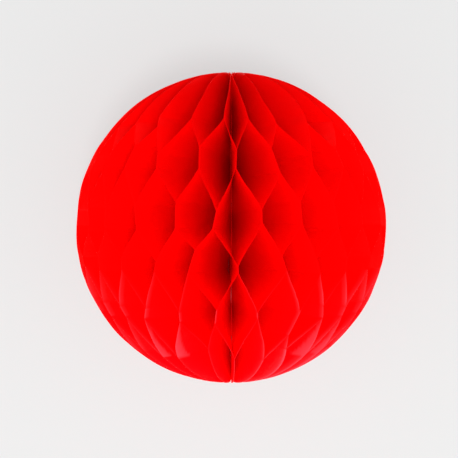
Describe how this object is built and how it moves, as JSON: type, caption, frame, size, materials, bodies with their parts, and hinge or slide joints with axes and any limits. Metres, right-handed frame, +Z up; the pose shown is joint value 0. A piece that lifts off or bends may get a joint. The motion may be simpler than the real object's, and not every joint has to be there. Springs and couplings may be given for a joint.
{
  "type": "paper honeycomb ball",
  "caption": "Red tissue-paper honeycomb ball that hangs by a cord loop and folds flat like a book around its bound spine.",
  "frame": {"origin": "centre of the open ball, on the spine", "axes": "+Z up along the spine towards the hanging loop; the seam where the two cover cards meet is in the +Y half-plane, so -Y is the front; +X to the right seen from the front"},
  "size_m": [0.1268, 0.1266, 0.1272],
  "materials": {
    "tissue": "matte, thin and translucent",
    "cover_card": "matte",
    "adhesive_film": "satin",
    "white_thread": "matte",
    "red_cord": "matte",
    "red_knot": "matte"
  },
  "bodies": {
    "cover_a": {"cover_board_a": "cover_card", "adhesive_strip": "adhesive_film", "spine_thread": "white_thread", "binding_knot": "red_knot"},
    "leaf_01": {"tissue_sheet_01": "tissue"},
    "leaf_02": {"tissue_sheet_02": "tissue"},
    "leaf_03": {"tissue_sheet_03": "tissue"},
    "leaf_04": {"tissue_sheet_04": "tissue"},
    "leaf_05": {"tissue_sheet_05": "tissue"},
    "leaf_06": {"tissue_sheet_06": "tissue"},
    "leaf_07": {"tissue_sheet_07": "tissue"},
    "leaf_08": {"tissue_sheet_08": "tissue"},
    "leaf_09": {"tissue_sheet_09": "tissue"},
    "leaf_10": {"tissue_sheet_10": "tissue"},
    "leaf_11": {"tissue_sheet_11": "tissue"},
    "leaf_12": {"tissue_sheet_12": "tissue"},
    "leaf_13": {"tissue_sheet_13": "tissue"},
    "leaf_14": {"tissue_sheet_14": "tissue"},
    "leaf_15": {"tissue_sheet_15": "tissue"},
    "leaf_16": {"tissue_sheet_16": "tissue"},
    "leaf_17": {"tissue_sheet_17": "tissue"},
    "leaf_18": {"tissue_sheet_18": "tissue"},
    "leaf_19": {"tissue_sheet_19": "tissue"},
    "leaf_20": {"tissue_sheet_20": "tissue"},
    "leaf_21": {"tissue_sheet_21": "tissue"},
    "leaf_22": {"tissue_sheet_22": "tissue"},
    "leaf_23": {"tissue_sheet_23": "tissue"},
    "leaf_24": {"tissue_sheet_24": "tissue"},
    "leaf_25": {"tissue_sheet_25": "tissue"},
    "leaf_26": {"tissue_sheet_26": "tissue"},
    "leaf_27": {"tissue_sheet_27": "tissue"},
    "leaf_28": {"tissue_sheet_28": "tissue"},
    "leaf_29": {"tissue_sheet_29": "tissue"},
    "leaf_30": {"tissue_sheet_30": "tissue"},
    "leaf_31": {"tissue_sheet_31": "tissue"},
    "leaf_32": {"tissue_sheet_32": "tissue"},
    "leaf_33": {"tissue_sheet_33": "tissue"},
    "leaf_34": {"tissue_sheet_34": "tissue"},
    "leaf_35": {"tissue_sheet_35": "tissue"},
    "leaf_36": {"tissue_sheet_36": "tissue"},
    "leaf_37": {"tissue_sheet_37": "tissue"},
    "leaf_38": {"tissue_sheet_38": "tissue"},
    "leaf_39": {"tissue_sheet_39": "tissue"},
    "leaf_40": {"tissue_sheet_40": "tissue"},
    "leaf_41": {"tissue_sheet_41": "tissue"},
    "leaf_42": {"tissue_sheet_42": "tissue"},
    "leaf_43": {"tissue_sheet_43": "tissue"},
    "leaf_44": {"tissue_sheet_44": "tissue"},
    "leaf_45": {"tissue_sheet_45": "tissue"},
    "leaf_46": {"tissue_sheet_46": "tissue"},
    "leaf_47": {"tissue_sheet_47": "tissue"},
    "leaf_48": {"tissue_sheet_48": "tissue"},
    "leaf_49": {"tissue_sheet_49": "tissue"},
    "leaf_50": {"tissue_sheet_50": "tissue"},
    "leaf_51": {"tissue_sheet_51": "tissue"},
    "leaf_52": {"tissue_sheet_52": "tissue"},
    "cover_b": {"cover_board_b": "cover_card"},
    "loop": {"hanging_loop": "red_cord"}
  },
  "joints": [
    {"name": "ball_fold", "type": "hinge", "parent": "cover_a", "child": "cover_b", "pos_m": [0, 0, 0], "axis": [0, 0, -1], "range_deg": [0, 350]},
    {"name": "hanging_loop_pull", "type": "slide", "parent": "cover_a", "child": "loop", "axis": [0, 0, 1], "range_m": [0, 0.045]},
    {"name": "leaf_01_fan", "type": "hinge", "parent": "cover_a", "child": "leaf_01", "pos_m": [0, 0, 0], "axis": [0, 0, -1], "range_deg": [0, 3.38], "deforming": ["tissue_sheet_01"]},
    {"name": "leaf_02_fan", "type": "hinge", "parent": "cover_a", "child": "leaf_02", "pos_m": [0, 0, 0], "axis": [0, 0, -1], "range_deg": [0, 10.11], "deforming": ["tissue_sheet_02"]},
    {"name": "leaf_03_fan", "type": "hinge", "parent": "cover_a", "child": "leaf_03", "pos_m": [0, 0, 0], "axis": [0, 0, -1], "range_deg": [0, 16.84], "deforming": ["tissue_sheet_03"]},
    {"name": "leaf_04_fan", "type": "hinge", "parent": "cover_a", "child": "leaf_04", "pos_m": [0, 0, 0], "axis": [0, 0, -1], "range_deg": [0, 23.57], "deforming": ["tissue_sheet_04"]},
    {"name": "leaf_05_fan", "type": "hinge", "parent": "cover_a", "child": "leaf_05", "pos_m": [0, 0, 0], "axis": [0, 0, -1], "range_deg": [0, 30.3], "deforming": ["tissue_sheet_05"]},
    {"name": "leaf_06_fan", "type": "hinge", "parent": "cover_a", "child": "leaf_06", "pos_m": [0, 0, 0], "axis": [0, 0, -1], "range_deg": [0, 37.03], "deforming": ["tissue_sheet_06"]},
    {"name": "leaf_07_fan", "type": "hinge", "parent": "cover_a", "child": "leaf_07", "pos_m": [0, 0, 0], "axis": [0, 0, -1], "range_deg": [0, 43.76], "deforming": ["tissue_sheet_07"]},
    {"name": "leaf_08_fan", "type": "hinge", "parent": "cover_a", "child": "leaf_08", "pos_m": [0, 0, 0], "axis": [0, 0, -1], "range_deg": [0, 50.5], "deforming": ["tissue_sheet_08"]},
    {"name": "leaf_09_fan", "type": "hinge", "parent": "cover_a", "child": "leaf_09", "pos_m": [0, 0, 0], "axis": [0, 0, -1], "range_deg": [0, 57.23], "deforming": ["tissue_sheet_09"]},
    {"name": "leaf_10_fan", "type": "hinge", "parent": "cover_a", "child": "leaf_10", "pos_m": [0, 0, 0], "axis": [0, 0, -1], "range_deg": [0, 63.96], "deforming": ["tissue_sheet_10"]},
    {"name": "leaf_11_fan", "type": "hinge", "parent": "cover_a", "child": "leaf_11", "pos_m": [0, 0, 0], "axis": [0, 0, -1], "range_deg": [0, 70.69], "deforming": ["tissue_sheet_11"]},
    {"name": "leaf_12_fan", "type": "hinge", "parent": "cover_a", "child": "leaf_12", "pos_m": [0, 0, 0], "axis": [0, 0, -1], "range_deg": [0, 77.42], "deforming": ["tissue_sheet_12"]},
    {"name": "leaf_13_fan", "type": "hinge", "parent": "cover_a", "child": "leaf_13", "pos_m": [0, 0, 0], "axis": [0, 0, -1], "range_deg": [0, 84.15], "deforming": ["tissue_sheet_13"]},
    {"name": "leaf_14_fan", "type": "hinge", "parent": "cover_a", "child": "leaf_14", "pos_m": [0, 0, 0], "axis": [0, 0, -1], "range_deg": [0, 90.88], "deforming": ["tissue_sheet_14"]},
    {"name": "leaf_15_fan", "type": "hinge", "parent": "cover_a", "child": "leaf_15", "pos_m": [0, 0, 0], "axis": [0, 0, -1], "range_deg": [0, 97.61], "deforming": ["tissue_sheet_15"]},
    {"name": "leaf_16_fan", "type": "hinge", "parent": "cover_a", "child": "leaf_16", "pos_m": [0, 0, 0], "axis": [0, 0, -1], "range_deg": [0, 104.34], "deforming": ["tissue_sheet_16"]},
    {"name": "leaf_17_fan", "type": "hinge", "parent": "cover_a", "child": "leaf_17", "pos_m": [0, 0, 0], "axis": [0, 0, -1], "range_deg": [0, 111.07], "deforming": ["tissue_sheet_17"]},
    {"name": "leaf_18_fan", "type": "hinge", "parent": "cover_a", "child": "leaf_18", "pos_m": [0, 0, 0], "axis": [0, 0, -1], "range_deg": [0, 117.8], "deforming": ["tissue_sheet_18"]},
    {"name": "leaf_19_fan", "type": "hinge", "parent": "cover_a", "child": "leaf_19", "pos_m": [0, 0, 0], "axis": [0, 0, -1], "range_deg": [0, 124.53], "deforming": ["tissue_sheet_19"]},
    {"name": "leaf_20_fan", "type": "hinge", "parent": "cover_a", "child": "leaf_20", "pos_m": [0, 0, 0], "axis": [0, 0, -1], "range_deg": [0, 131.26], "deforming": ["tissue_sheet_20"]},
    {"name": "leaf_21_fan", "type": "hinge", "parent": "cover_a", "child": "leaf_21", "pos_m": [0, 0, 0], "axis": [0, 0, -1], "range_deg": [0, 138], "deforming": ["tissue_sheet_21"]},
    {"name": "leaf_22_fan", "type": "hinge", "parent": "cover_a", "child": "leaf_22", "pos_m": [0, 0, 0], "axis": [0, 0, -1], "range_deg": [0, 144.73], "deforming": ["tissue_sheet_22"]},
    {"name": "leaf_23_fan", "type": "hinge", "parent": "cover_a", "child": "leaf_23", "pos_m": [0, 0, 0], "axis": [0, 0, -1], "range_deg": [0, 151.46], "deforming": ["tissue_sheet_23"]},
    {"name": "leaf_24_fan", "type": "hinge", "parent": "cover_a", "child": "leaf_24", "pos_m": [0, 0, 0], "axis": [0, 0, -1], "range_deg": [0, 158.19], "deforming": ["tissue_sheet_24"]},
    {"name": "leaf_25_fan", "type": "hinge", "parent": "cover_a", "child": "leaf_25", "pos_m": [0, 0, 0], "axis": [0, 0, -1], "range_deg": [0, 164.92], "deforming": ["tissue_sheet_25"]},
    {"name": "leaf_26_fan", "type": "hinge", "parent": "cover_a", "child": "leaf_26", "pos_m": [0, 0, 0], "axis": [0, 0, -1], "range_deg": [0, 171.65], "deforming": ["tissue_sheet_26"]},
    {"name": "leaf_27_fan", "type": "hinge", "parent": "cover_a", "child": "leaf_27", "pos_m": [0, 0, 0], "axis": [0, 0, -1], "range_deg": [0, 178.38], "deforming": ["tissue_sheet_27"]},
    {"name": "leaf_28_fan", "type": "hinge", "parent": "cover_a", "child": "leaf_28", "pos_m": [0, 0, 0], "axis": [0, 0, -1], "range_deg": [0, 185.11], "deforming": ["tissue_sheet_28"]},
    {"name": "leaf_29_fan", "type": "hinge", "parent": "cover_a", "child": "leaf_29", "pos_m": [0, 0, 0], "axis": [0, 0, -1], "range_deg": [0, 191.84], "deforming": ["tissue_sheet_29"]},
    {"name": "leaf_30_fan", "type": "hinge", "parent": "cover_a", "child": "leaf_30", "pos_m": [0, 0, 0], "axis": [0, 0, -1], "range_deg": [0, 198.57], "deforming": ["tissue_sheet_30"]},
    {"name": "leaf_31_fan", "type": "hinge", "parent": "cover_a", "child": "leaf_31", "pos_m": [0, 0, 0], "axis": [0, 0, -1], "range_deg": [0, 205.3], "deforming": ["tissue_sheet_31"]},
    {"name": "leaf_32_fan", "type": "hinge", "parent": "cover_a", "child": "leaf_32", "pos_m": [0, 0, 0], "axis": [0, 0, -1], "range_deg": [0, 212.03], "deforming": ["tissue_sheet_32"]},
    {"name": "leaf_33_fan", "type": "hinge", "parent": "cover_a", "child": "leaf_33", "pos_m": [0, 0, 0], "axis": [0, 0, -1], "range_deg": [0, 218.76], "deforming": ["tissue_sheet_33"]},
    {"name": "leaf_34_fan", "type": "hinge", "parent": "cover_a", "child": "leaf_34", "pos_m": [0, 0, 0], "axis": [0, 0, -1], "range_deg": [0, 225.5], "deforming": ["tissue_sheet_34"]},
    {"name": "leaf_35_fan", "type": "hinge", "parent": "cover_a", "child": "leaf_35", "pos_m": [0, 0, 0], "axis": [0, 0, -1], "range_deg": [0, 232.23], "deforming": ["tissue_sheet_35"]},
    {"name": "leaf_36_fan", "type": "hinge", "parent": "cover_a", "child": "leaf_36", "pos_m": [0, 0, 0], "axis": [0, 0, -1], "range_deg": [0, 238.96], "deforming": ["tissue_sheet_36"]},
    {"name": "leaf_37_fan", "type": "hinge", "parent": "cover_a", "child": "leaf_37", "pos_m": [0, 0, 0], "axis": [0, 0, -1], "range_deg": [0, 245.69], "deforming": ["tissue_sheet_37"]},
    {"name": "leaf_38_fan", "type": "hinge", "parent": "cover_a", "child": "leaf_38", "pos_m": [0, 0, 0], "axis": [0, 0, -1], "range_deg": [0, 252.42], "deforming": ["tissue_sheet_38"]},
    {"name": "leaf_39_fan", "type": "hinge", "parent": "cover_a", "child": "leaf_39", "pos_m": [0, 0, 0], "axis": [0, 0, -1], "range_deg": [0, 259.15], "deforming": ["tissue_sheet_39"]},
    {"name": "leaf_40_fan", "type": "hinge", "parent": "cover_a", "child": "leaf_40", "pos_m": [0, 0, 0], "axis": [0, 0, -1], "range_deg": [0, 265.88], "deforming": ["tissue_sheet_40"]},
    {"name": "leaf_41_fan", "type": "hinge", "parent": "cover_a", "child": "leaf_41", "pos_m": [0, 0, 0], "axis": [0, 0, -1], "range_deg": [0, 272.61], "deforming": ["tissue_sheet_41"]},
    {"name": "leaf_42_fan", "type": "hinge", "parent": "cover_a", "child": "leaf_42", "pos_m": [0, 0, 0], "axis": [0, 0, -1], "range_deg": [0, 279.34], "deforming": ["tissue_sheet_42"]},
    {"name": "leaf_43_fan", "type": "hinge", "parent": "cover_a", "child": "leaf_43", "pos_m": [0, 0, 0], "axis": [0, 0, -1], "range_deg": [0, 286.07], "deforming": ["tissue_sheet_43"]},
    {"name": "leaf_44_fan", "type": "hinge", "parent": "cover_a", "child": "leaf_44", "pos_m": [0, 0, 0], "axis": [0, 0, -1], "range_deg": [0, 292.8], "deforming": ["tissue_sheet_44"]},
    {"name": "leaf_45_fan", "type": "hinge", "parent": "cover_a", "child": "leaf_45", "pos_m": [0, 0, 0], "axis": [0, 0, -1], "range_deg": [0, 299.53], "deforming": ["tissue_sheet_45"]},
    {"name": "leaf_46_fan", "type": "hinge", "parent": "cover_a", "child": "leaf_46", "pos_m": [0, 0, 0], "axis": [0, 0, -1], "range_deg": [0, 306.26], "deforming": ["tissue_sheet_46"]},
    {"name": "leaf_47_fan", "type": "hinge", "parent": "cover_a", "child": "leaf_47", "pos_m": [0, 0, 0], "axis": [0, 0, -1], "range_deg": [0, 313], "deforming": ["tissue_sheet_47"]},
    {"name": "leaf_48_fan", "type": "hinge", "parent": "cover_a", "child": "leaf_48", "pos_m": [0, 0, 0], "axis": [0, 0, -1], "range_deg": [0, 319.73], "deforming": ["tissue_sheet_48"]},
    {"name": "leaf_49_fan", "type": "hinge", "parent": "cover_a", "child": "leaf_49", "pos_m": [0, 0, 0], "axis": [0, 0, -1], "range_deg": [0, 326.46], "deforming": ["tissue_sheet_49"]},
    {"name": "leaf_50_fan", "type": "hinge", "parent": "cover_a", "child": "leaf_50", "pos_m": [0, 0, 0], "axis": [0, 0, -1], "range_deg": [0, 333.19], "deforming": ["tissue_sheet_50"]},
    {"name": "leaf_51_fan", "type": "hinge", "parent": "cover_a", "child": "leaf_51", "pos_m": [0, 0, 0], "axis": [0, 0, -1], "range_deg": [0, 339.92], "deforming": ["tissue_sheet_51"]},
    {"name": "leaf_52_fan", "type": "hinge", "parent": "cover_a", "child": "leaf_52", "pos_m": [0, 0, 0], "axis": [0, 0, -1], "range_deg": [0, 346.65], "deforming": ["tissue_sheet_52"]}
  ],
  "couplings": [
    {"joint": "leaf_01_fan", "follows": "ball_fold", "ratio": 0.009615},
    {"joint": "leaf_02_fan", "follows": "ball_fold", "ratio": 0.028846},
    {"joint": "leaf_03_fan", "follows": "ball_fold", "ratio": 0.048077},
    {"joint": "leaf_04_fan", "follows": "ball_fold", "ratio": 0.067308},
    {"joint": "leaf_05_fan", "follows": "ball_fold", "ratio": 0.086538},
    {"joint": "leaf_06_fan", "follows": "ball_fold", "ratio": 0.10577},
    {"joint": "leaf_07_fan", "follows": "ball_fold", "ratio": 0.125},
    {"joint": "leaf_08_fan", "follows": "ball_fold", "ratio": 0.14423},
    {"joint": "leaf_09_fan", "follows": "ball_fold", "ratio": 0.16346},
    {"joint": "leaf_10_fan", "follows": "ball_fold", "ratio": 0.18269},
    {"joint": "leaf_11_fan", "follows": "ball_fold", "ratio": 0.20192},
    {"joint": "leaf_12_fan", "follows": "ball_fold", "ratio": 0.22115},
    {"joint": "leaf_13_fan", "follows": "ball_fold", "ratio": 0.24038},
    {"joint": "leaf_14_fan", "follows": "ball_fold", "ratio": 0.25961},
    {"joint": "leaf_15_fan", "follows": "ball_fold", "ratio": 0.27885},
    {"joint": "leaf_16_fan", "follows": "ball_fold", "ratio": 0.29808},
    {"joint": "leaf_17_fan", "follows": "ball_fold", "ratio": 0.31731},
    {"joint": "leaf_18_fan", "follows": "ball_fold", "ratio": 0.33654},
    {"joint": "leaf_19_fan", "follows": "ball_fold", "ratio": 0.35577},
    {"joint": "leaf_20_fan", "follows": "ball_fold", "ratio": 0.375},
    {"joint": "leaf_21_fan", "follows": "ball_fold", "ratio": 0.39423},
    {"joint": "leaf_22_fan", "follows": "ball_fold", "ratio": 0.41346},
    {"joint": "leaf_23_fan", "follows": "ball_fold", "ratio": 0.43269},
    {"joint": "leaf_24_fan", "follows": "ball_fold", "ratio": 0.45192},
    {"joint": "leaf_25_fan", "follows": "ball_fold", "ratio": 0.47115},
    {"joint": "leaf_26_fan", "follows": "ball_fold", "ratio": 0.49039},
    {"joint": "leaf_27_fan", "follows": "ball_fold", "ratio": 0.50962},
    {"joint": "leaf_28_fan", "follows": "ball_fold", "ratio": 0.52885},
    {"joint": "leaf_29_fan", "follows": "ball_fold", "ratio": 0.54808},
    {"joint": "leaf_30_fan", "follows": "ball_fold", "ratio": 0.56731},
    {"joint": "leaf_31_fan", "follows": "ball_fold", "ratio": 0.58654},
    {"joint": "leaf_32_fan", "follows": "ball_fold", "ratio": 0.60577},
    {"joint": "leaf_33_fan", "follows": "ball_fold", "ratio": 0.625},
    {"joint": "leaf_34_fan", "follows": "ball_fold", "ratio": 0.64423},
    {"joint": "leaf_35_fan", "follows": "ball_fold", "ratio": 0.66346},
    {"joint": "leaf_36_fan", "follows": "ball_fold", "ratio": 0.68269},
    {"joint": "leaf_37_fan", "follows": "ball_fold", "ratio": 0.70192},
    {"joint": "leaf_38_fan", "follows": "ball_fold", "ratio": 0.72115},
    {"joint": "leaf_39_fan", "follows": "ball_fold", "ratio": 0.74038},
    {"joint": "leaf_40_fan", "follows": "ball_fold", "ratio": 0.75962},
    {"joint": "leaf_41_fan", "follows": "ball_fold", "ratio": 0.77885},
    {"joint": "leaf_42_fan", "follows": "ball_fold", "ratio": 0.79808},
    {"joint": "leaf_43_fan", "follows": "ball_fold", "ratio": 0.81731},
    {"joint": "leaf_44_fan", "follows": "ball_fold", "ratio": 0.83654},
    {"joint": "leaf_45_fan", "follows": "ball_fold", "ratio": 0.85577},
    {"joint": "leaf_46_fan", "follows": "ball_fold", "ratio": 0.875},
    {"joint": "leaf_47_fan", "follows": "ball_fold", "ratio": 0.89423},
    {"joint": "leaf_48_fan", "follows": "ball_fold", "ratio": 0.91346},
    {"joint": "leaf_49_fan", "follows": "ball_fold", "ratio": 0.93269},
    {"joint": "leaf_50_fan", "follows": "ball_fold", "ratio": 0.95192},
    {"joint": "leaf_51_fan", "follows": "ball_fold", "ratio": 0.97115},
    {"joint": "leaf_52_fan", "follows": "ball_fold", "ratio": 0.99038}
  ]
}
